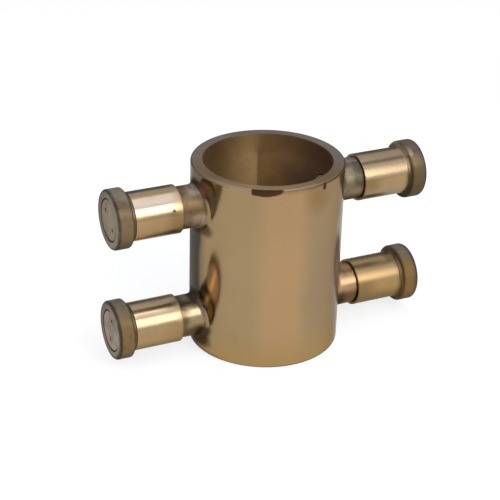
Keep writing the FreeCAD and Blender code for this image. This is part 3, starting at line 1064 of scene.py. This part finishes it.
def bossSpokes(border, window, sign, height):
    # rings of points from a patch border in to the tooth window. Each border point keeps its angle about the
    # arm and goes: along the tube, round the root fillet (the arc of the fillet's radius that touches both
    # the tube's section and the boss), out along the boss, over its end, in along the chamber and through
    # the tooth hole
    shape = tubeShape
    fillet = shape["rootFillet"]
    outer = np.unwrap(np.arctan2(border[:, 2] - height, border[:, 1]))
    inner = np.unwrap(np.arctan2(window[:, 2] - height, window[:, 1]))
    inner = inner + 2 * np.pi * np.round((outer - inner).mean() / (2 * np.pi))
    reach = np.hypot(border[:, 1], border[:, 2] - height)

    def tubeAt(v, angle, radius):
        return np.sqrt(radius ** 2 - (v * np.cos(angle)) ** 2)

    foot = np.full(len(outer), bossRadius + fillet)
    for _ in range(shape["touchRounds"]):  # fixed point for where the arc touches the tube
        slope = -foot * np.cos(outer) ** 2 / tubeAt(foot, outer, tubeRadius)
        foot = bossRadius + fillet * (1 + slope / np.sqrt(1 + slope ** 2))
    arcOut = tubeAt(foot, outer, tubeRadius) + fillet / np.sqrt(1 + slope ** 2)
    arcAcross = bossRadius + fillet
    startAngle = np.arctan2(tubeAt(foot, outer, tubeRadius) - arcOut, foot - arcAcross)
    rings = []

    def ring(u, v, angle):
        rings.append(np.stack([sign * (u + 0 * angle), v * np.cos(angle), height + v * np.sin(angle)], -1))

    for share in shape["wallShares"]:
        v = reach + (foot - reach) * share
        ring(tubeAt(v, outer, tubeRadius), v, outer)
    for share in np.linspace(0, 1, shape["filletRings"]):
        angle = startAngle + (-np.pi - startAngle) * share
        ring(arcOut + fillet * np.sin(angle), arcAcross + fillet * np.cos(angle), outer)
    bossTop = bossEnd - shape["bossChamfer"]
    for share in shape["bossShares"]:
        ring(arcOut + (bossTop - arcOut) * share, bossRadius, outer)
    ring(bossEnd, bossRadius - shape["bossChamfer"], outer)
    for share in shape["chamberShares"]:
        depth = bossEnd + (shape["chamberFloor"] - bossEnd) * share
        ring(depth, shape["chamberRadius"], outer + (inner - outer) * share)
    flats = shape["toothHoleHalfHeight"] / np.maximum(np.abs(np.sin(inner)), 1e-6)
    hole = np.minimum(shape["toothHoleRadius"], flats)
    ring(shape["chamberFloor"], hole, inner)
    ring(tubeAt(hole, inner, shape["seatRadius"]), hole, inner)
    return np.stack(rings)


def buildTube():
    # the turned outline with a patch taken out for each boss and window, closed again by the boss's rings
    shape = tubeShape
    outline, starts = tubeOutline()
    columns = len(outline)
    points, quads = turnAboutTube(outline, shape["sectors"])
    quads = quads.reshape(shape["sectors"], columns, 4)
    keep = np.ones(quads.shape[:2], bool)
    clouds = [points]
    faces = []
    total = len(points)
    for arm in arms:
        sign, height = armPlace(arm)
        middle = 0 if sign > 0 else shape["sectors"] // 2
        across = (middle + np.arange(-shape["patchSectors"], shape["patchSectors"])) % shape["sectors"]
        outerStart, innerStart = starts[arm.split("_")[0]]
        for start in (outerStart, innerStart):
            keep[across[:, None], start + np.arange(shape["patchRows"])[None, :]] = False
        border = patchBorder(middle, outerStart, False, columns)
        window = patchBorder(middle, innerStart, True, columns)
        rings = bossSpokes(points[border], points[window], sign, height)
        count = len(border)
        numbers = total + np.arange(rings.shape[0] * count).reshape(rings.shape[0], count)
        numbers = np.concatenate([border[None], numbers, window[None]])
        ahead = np.roll(numbers, -1, axis=1)
        faces.append(np.stack([numbers[:-1], ahead[:-1], ahead[1:], numbers[1:]], -1).reshape(-1, 4))
        clouds.append(rings.reshape(-1, 3))
        total += rings.shape[0] * count
    faces.append(quads[keep])
    return np.concatenate(clouds), np.concatenate(faces)


points, faces = buildTube()
makePiece("adapter_body", points, faces.tolist(), "housing", finishes["tube"], "body")


# Pull knobs: sleeve, bead and flange turned in one piece

def knobOutline():
    # half-section of a knob as (along, radius, rounding) corners, from the sleeve's end to the nut's pocket
    shape = knobShape
    flangeRadius = (knobHigh[1] - knobLow[1]) / 2
    back = knobEnd - shape["flangeThickness"]
    bead = back - shape["beadWidth"]
    pocketFloor = knobEnd - shape["nutPocketDepth"]
    boreFloor = knobEnd - shape["endWall"]
    return roundedOutline([
        (sleeveStart, shape["boreRadius"], shape["boreEdge"]),
        (sleeveStart, shape["sleeveRadius"], shape["sleeveEdge"]),
        (bead - shape["beadSlope"], shape["sleeveRadius"], shape["beadFoot"]),
        (bead, shape["beadRadius"], shape["beadEdge"]),
        (back, shape["beadRadius"], shape["beadCorner"]),
        (back, flangeRadius, shape["flangeBackEdge"]),
        (knobEnd, flangeRadius, shape["flangeFrontEdge"]),
        (knobEnd, shape["nutPocketRadius"], shape["boreEdge"]),
        (pocketFloor, shape["nutPocketRadius"], 0.0),
        (pocketFloor, shape["stemHoleRadius"], 0.0),
        (boreFloor, shape["stemHoleRadius"], 0.0),
        (boreFloor, shape["boreRadius"], 0.0),
    ])


knobPoints, knobFaces = turnAboutArm(knobOutline(), knobShape["sectors"])
for arm in arms:
    makePiece(f"{arm}_pull_knob", placeOnArm(knobPoints, arm), knobFaces.tolist(),
              f"{arm}_plunger_set", finishes["knob"], f"{arm}_knob")


# Springs inside the bosses: a round wire on a helix

springShape = dict(
    coils=5.5,
    wireRadius=0.9,
    bonnetFace=77.0,
    collarFace=51.0,
    ringsPerCoil=40,
    wireSides=12,
)


def springTube():
    # centre of the wire: x runs from end to end while the angle makes all the coils;
    # the wire's round section stands on the radial line and on its cross product with the tangent
    shape = springShape
    coilRadius = (springHigh[1] - springLow[1]) / 2 - shape["wireRadius"]
    first = springLow[0] + shape["wireRadius"]
    last = springHigh[0] - shape["wireRadius"]
    share = np.linspace(0, 1, int(shape["coils"] * shape["ringsPerCoil"]) + 1)
    angle = 2 * np.pi * shape["coils"] * share
    out = np.stack([0 * angle, np.cos(angle), np.sin(angle)], -1)
    centre = out * coilRadius + np.outer(first + (last - first) * share, [1.0, 0.0, 0.0])
    tangent = np.gradient(centre, axis=0)
    tangent /= np.linalg.norm(tangent, axis=1)[:, None]
    side = np.cross(tangent, out)
    around = np.linspace(0, 2 * np.pi, shape["wireSides"], endpoint=False)
    section = out[:, None] * np.cos(around)[None, :, None] + side[:, None] * np.sin(around)[None, :, None]
    points = (centre[:, None] + shape["wireRadius"] * section).reshape(-1, 3)
    faces = gridQuads(len(share), shape["wireSides"], wrapRows=False).tolist()
    lastRing = (len(share) - 1) * shape["wireSides"]
    faces.append(list(range(shape["wireSides"])))
    faces.append(list(range(lastRing, lastRing + shape["wireSides"])))
    return points, faces


springPoints, springFaces = springTube()
pullRange = {joint["name"]: joint["range_m"] for joint in frame["joints"]}
bonnetFace = springShape["bonnetFace"]
free = bonnetFace - springShape["collarFace"]
for arm in arms:
    sign, height = armPlace(arm)
    spring = makePiece(f"{arm}_coil", placeOnArm(springPoints, arm), springFaces,
                       "housing", finishes["spring"], f"{arm}_spring")
    travel = pullRange[f"{arm}_pull"][1] / mm
    sign * bonnetFace * mm
    height * mm
    (free - travel) / free
    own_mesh(spring)


# Lip washers at the foot of each socket

washerShape = dict(boreRadius=34.0, lipDepth=3.6, lipHalf=2.6, edgeRound=0.5, lipRound=0.3, sectors=160)


def washerOutline():
    # half-section as (z, radius, rounding) corners: a rectangle with a notch in its bore that makes two lips
    shape = washerShape
    low, high = washerLow[2], washerHigh[2]
    outer = (washerHigh[1] - washerLow[1]) / 2
    middle = (low + high) / 2
    return roundedOutline([
        (low, shape["boreRadius"], shape["edgeRound"]),
        (low, outer, shape["edgeRound"]),
        (high, outer, shape["edgeRound"]),
        (high, shape["boreRadius"], shape["edgeRound"]),
        (middle + shape["lipHalf"], shape["boreRadius"], shape["lipRound"]),
        (middle, shape["boreRadius"] + shape["lipDepth"], shape["edgeRound"]),
        (middle - shape["lipHalf"], shape["boreRadius"], shape["lipRound"]),
    ])


washerPoints, washerFaces = turnAboutTube(washerOutline(), washerShape["sectors"])
for level in ("upper", "lower"):
    flip = np.array([1.0, 1.0, 1.0 if level == "upper" else -1.0])
    lift = np.array([0.0, 0.0, 0.0 if level == "upper" else tubeHeight])
    makePiece(f"{level}_lip_washer", washerPoints * flip + lift, washerFaces.tolist(),
              "housing", finishes["washer"], f"{level}_washer")


# CAD pieces that keep their own mesh

for arm in arms:
    for node, finish in (("plunger", "plunger"), ("bonnet", "bonnet"), ("cap_nut", "capNut")):
        for part in frame["nodes"][f"{arm}_{node}"].material_slots:
            part.material = finishes[finish]
print("pieces made")


# Floor, light and camera

studio = dict(
    floorSize=6.0,
    floorColour=(0.32, 0.318, 0.31),
    floorGlow=0.75,  # added where the floor is seen, straight or in the metal
    worldDiffuse=0.60,
    skyTint=(0.82, 0.92, 1.25),  # the sky as the metal sees it
    cardColour=(0.29, 0.36, 0.60),
    cardRadius=0.95,
    cardHeight=0.62,
    cardTurn=(-10.0, 190.0),
    cardColumns=41,
    flag=dict(  # dark line on the right sleeves
        x=(0.44, 0.62), y=(-0.24, 0.09), z=1.0, colour=(0.05, 0.05, 0.06)),
)

softboxes = dict(
    frontSoftbox=dict(
        size=(0.62, 0.62), radiance=4.9, colour=(0.93, 0.96, 1.10), turn=15.5, lift=34.0, away=1.05),
    topSoftbox=dict(
        size=(0.38, 0.74), radiance=2.9, colour=(0.58, 0.70, 1.08), turn=63.4, lift=74.5, away=1.006,
        level=True),
    leftSoftbox=dict(
        size=(0.44, 0.44), radiance=3.3, colour=(0.94, 0.96, 1.0), turn=-75.0, lift=27.0, away=1.0),
)


def directionFrom(turn, lift):
    # from the tube towards a light or the camera: turned from the front, then lifted, in radians
    return Vector((np.sin(turn) * np.cos(lift), -np.cos(turn) * np.cos(lift), np.sin(lift)))


def seenDirectly(board):
    # 1 for rays from the camera and for rays that leave metal or glass, and 1 for the latter alone
    ray = board.node("ShaderNodeLightPath").socket.node
    camera, glossy, through = [
        Wire(board, ray.outputs[f"Is {kind} Ray"]) for kind in ("Camera", "Glossy", "Transmission")]
    mirrored = glossy.larger(through)
    return camera.larger(mirrored), mirrored


def paint(name, colour, glow=0.0):
    board = Board(bpy.data.materials.new(name))
    shader = board.node("ShaderNodeBsdfDiffuse", inputs={"Color": (*colour, 1.0)})
    if glow:
        light = board.node("ShaderNodeEmission", inputs={"Strength": seenDirectly(board)[0] * glow})
        shader = board.node("ShaderNodeAddShader", inputs={0: shader, 1: light})
    return board.finish(shader)


def stageMesh(name, points, quads, material):
    mesh = bpy.data.meshes.new(name)
    mesh.from_pydata(points.tolist(), [], quads.tolist())
    mesh.materials.append(material)
    thing = bpy.data.objects.new(name, mesh)
    bpy.context.scene.collection.objects.link(thing)
    return thing


def hangSoftbox(name, box):
    # a rectangle that faces the middle of the tube, or straight down if it hangs level;
    # its power gives the stated radiance
    lamp = bpy.data.lights.new(name, "AREA")
    lamp.shape = "RECTANGLE"
    lamp.size, lamp.size_y = box["size"]
    lamp.energy = box["radiance"] * np.pi * lamp.size * lamp.size_y
    lamp.color = box["colour"]
    softbox = bpy.data.objects.new(name, lamp)
    bpy.context.scene.collection.objects.link(softbox)
    back = directionFrom(*np.radians([box["turn"], box["lift"]]))
    softbox.location = Vector((0, 0, middleHeight * mm)) + back * box["away"]
    if not box.get("level"):
        softbox.rotation_mode = "QUATERNION"
        softbox.rotation_quaternion = back.to_track_quat("Z", "Y")
    softbox.visible_camera = False


def buildStudio():
    half = studio["floorSize"] / 2
    oneQuad = np.array([[0, 1, 2, 3]])
    corners = np.array([[-half, -half, 0], [half, -half, 0], [half, half, 0], [-half, half, 0]])
    stageMesh("floor", corners, oneQuad, paint("floorWhite", studio["floorColour"], studio["floorGlow"]))

    # grey card round the back and a dark flag overhead, seen only in the metal
    angle = np.radians(np.linspace(*studio["cardTurn"], studio["cardColumns"]))
    low = np.stack([np.cos(angle), np.sin(angle), 0 * angle], -1) * studio["cardRadius"]
    high = low + [0, 0, studio["cardHeight"]]
    card = stageMesh("backCard", np.concatenate([low, high]), gridQuads(2, len(angle), False, False),
                     paint("cardGrey", studio["cardColour"]))
    flag = studio["flag"]
    plan = zip(np.repeat(flag["x"], 2), flag["y"] + flag["y"][::-1])
    sides = np.array([[x, y, flag["z"]] for x, y in plan])
    dark = stageMesh("overheadFlag", sides, oneQuad, paint("flagBlack", flag["colour"]))
    for sheet in (card, dark):
        sheet.visible_camera = False
        sheet.visible_diffuse = False
        sheet.visible_shadow = False
        sheet.visible_transmission = False

    for name, box in softboxes.items():
        hangSoftbox(name, box)

    world = bpy.data.worlds.new("studioWorld")
    bpy.context.scene.world = world
    board = Board(world)
    seen, mirrored = seenDirectly(board)
    strength = studio["worldDiffuse"] + seen * (1.0 - studio["worldDiffuse"])
    tint = board.mix(mirrored, (1.0, 1.0, 1.0), studio["skyTint"])
    light = board.node("ShaderNodeBackground", inputs={"Color": tint, "Strength": strength})
    board.node("ShaderNodeOutputWorld", inputs={"Surface": light})


view = dict(
    azimuth=-26.567,  # angles in degrees
    elevation=26.805,
    roll=1.897,
    distance=963.2,  # from the middle of the tube, in millimetres
    focalPixels=1514.07,
    framePixels=500.0,
    centrePixel=(265.1, 246.75),  # where the middle of the tube falls
    sensor=36.0,
    clip=(0.05, 20.0),
)


def aimCamera():
    # looks past the tube's middle by as much as puts it on its pixel
    turn, lift, roll = np.radians([view["azimuth"], view["elevation"], view["roll"]])
    back = directionFrom(turn, lift)
    level = Vector((np.cos(turn), np.sin(turn), 0))
    upright = back.cross(level)
    right = level * np.cos(roll) + upright * np.sin(roll)
    up = upright * np.cos(roll) - level * np.sin(roll)
    offsetX = (view["centrePixel"][0] - view["framePixels"] / 2) / view["focalPixels"]
    offsetY = (view["framePixels"] / 2 - view["centrePixel"][1]) / view["focalPixels"]
    axis = (back + right * offsetX + up * offsetY).normalized()
    right = up.cross(axis).normalized()
    up = axis.cross(right)
    data = bpy.data.cameras.new("camera")
    data.sensor_width = view["sensor"]
    data.lens = view["focalPixels"] * view["sensor"] / view["framePixels"]
    data.clip_start, data.clip_end = view["clip"]
    camera = bpy.data.objects.new("camera", data)
    bpy.context.scene.collection.objects.link(camera)
    position = Vector((0, 0, middleHeight * mm)) + back * view["distance"] * mm
    camera.matrix_world = Matrix.Translation(position) @ Matrix((right, up, axis)).transposed().to_4x4()
    bpy.context.scene.camera = camera


buildStudio()
aimCamera()
bpy.context.scene.view_settings.view_transform = "Standard"
print("studio and camera made")
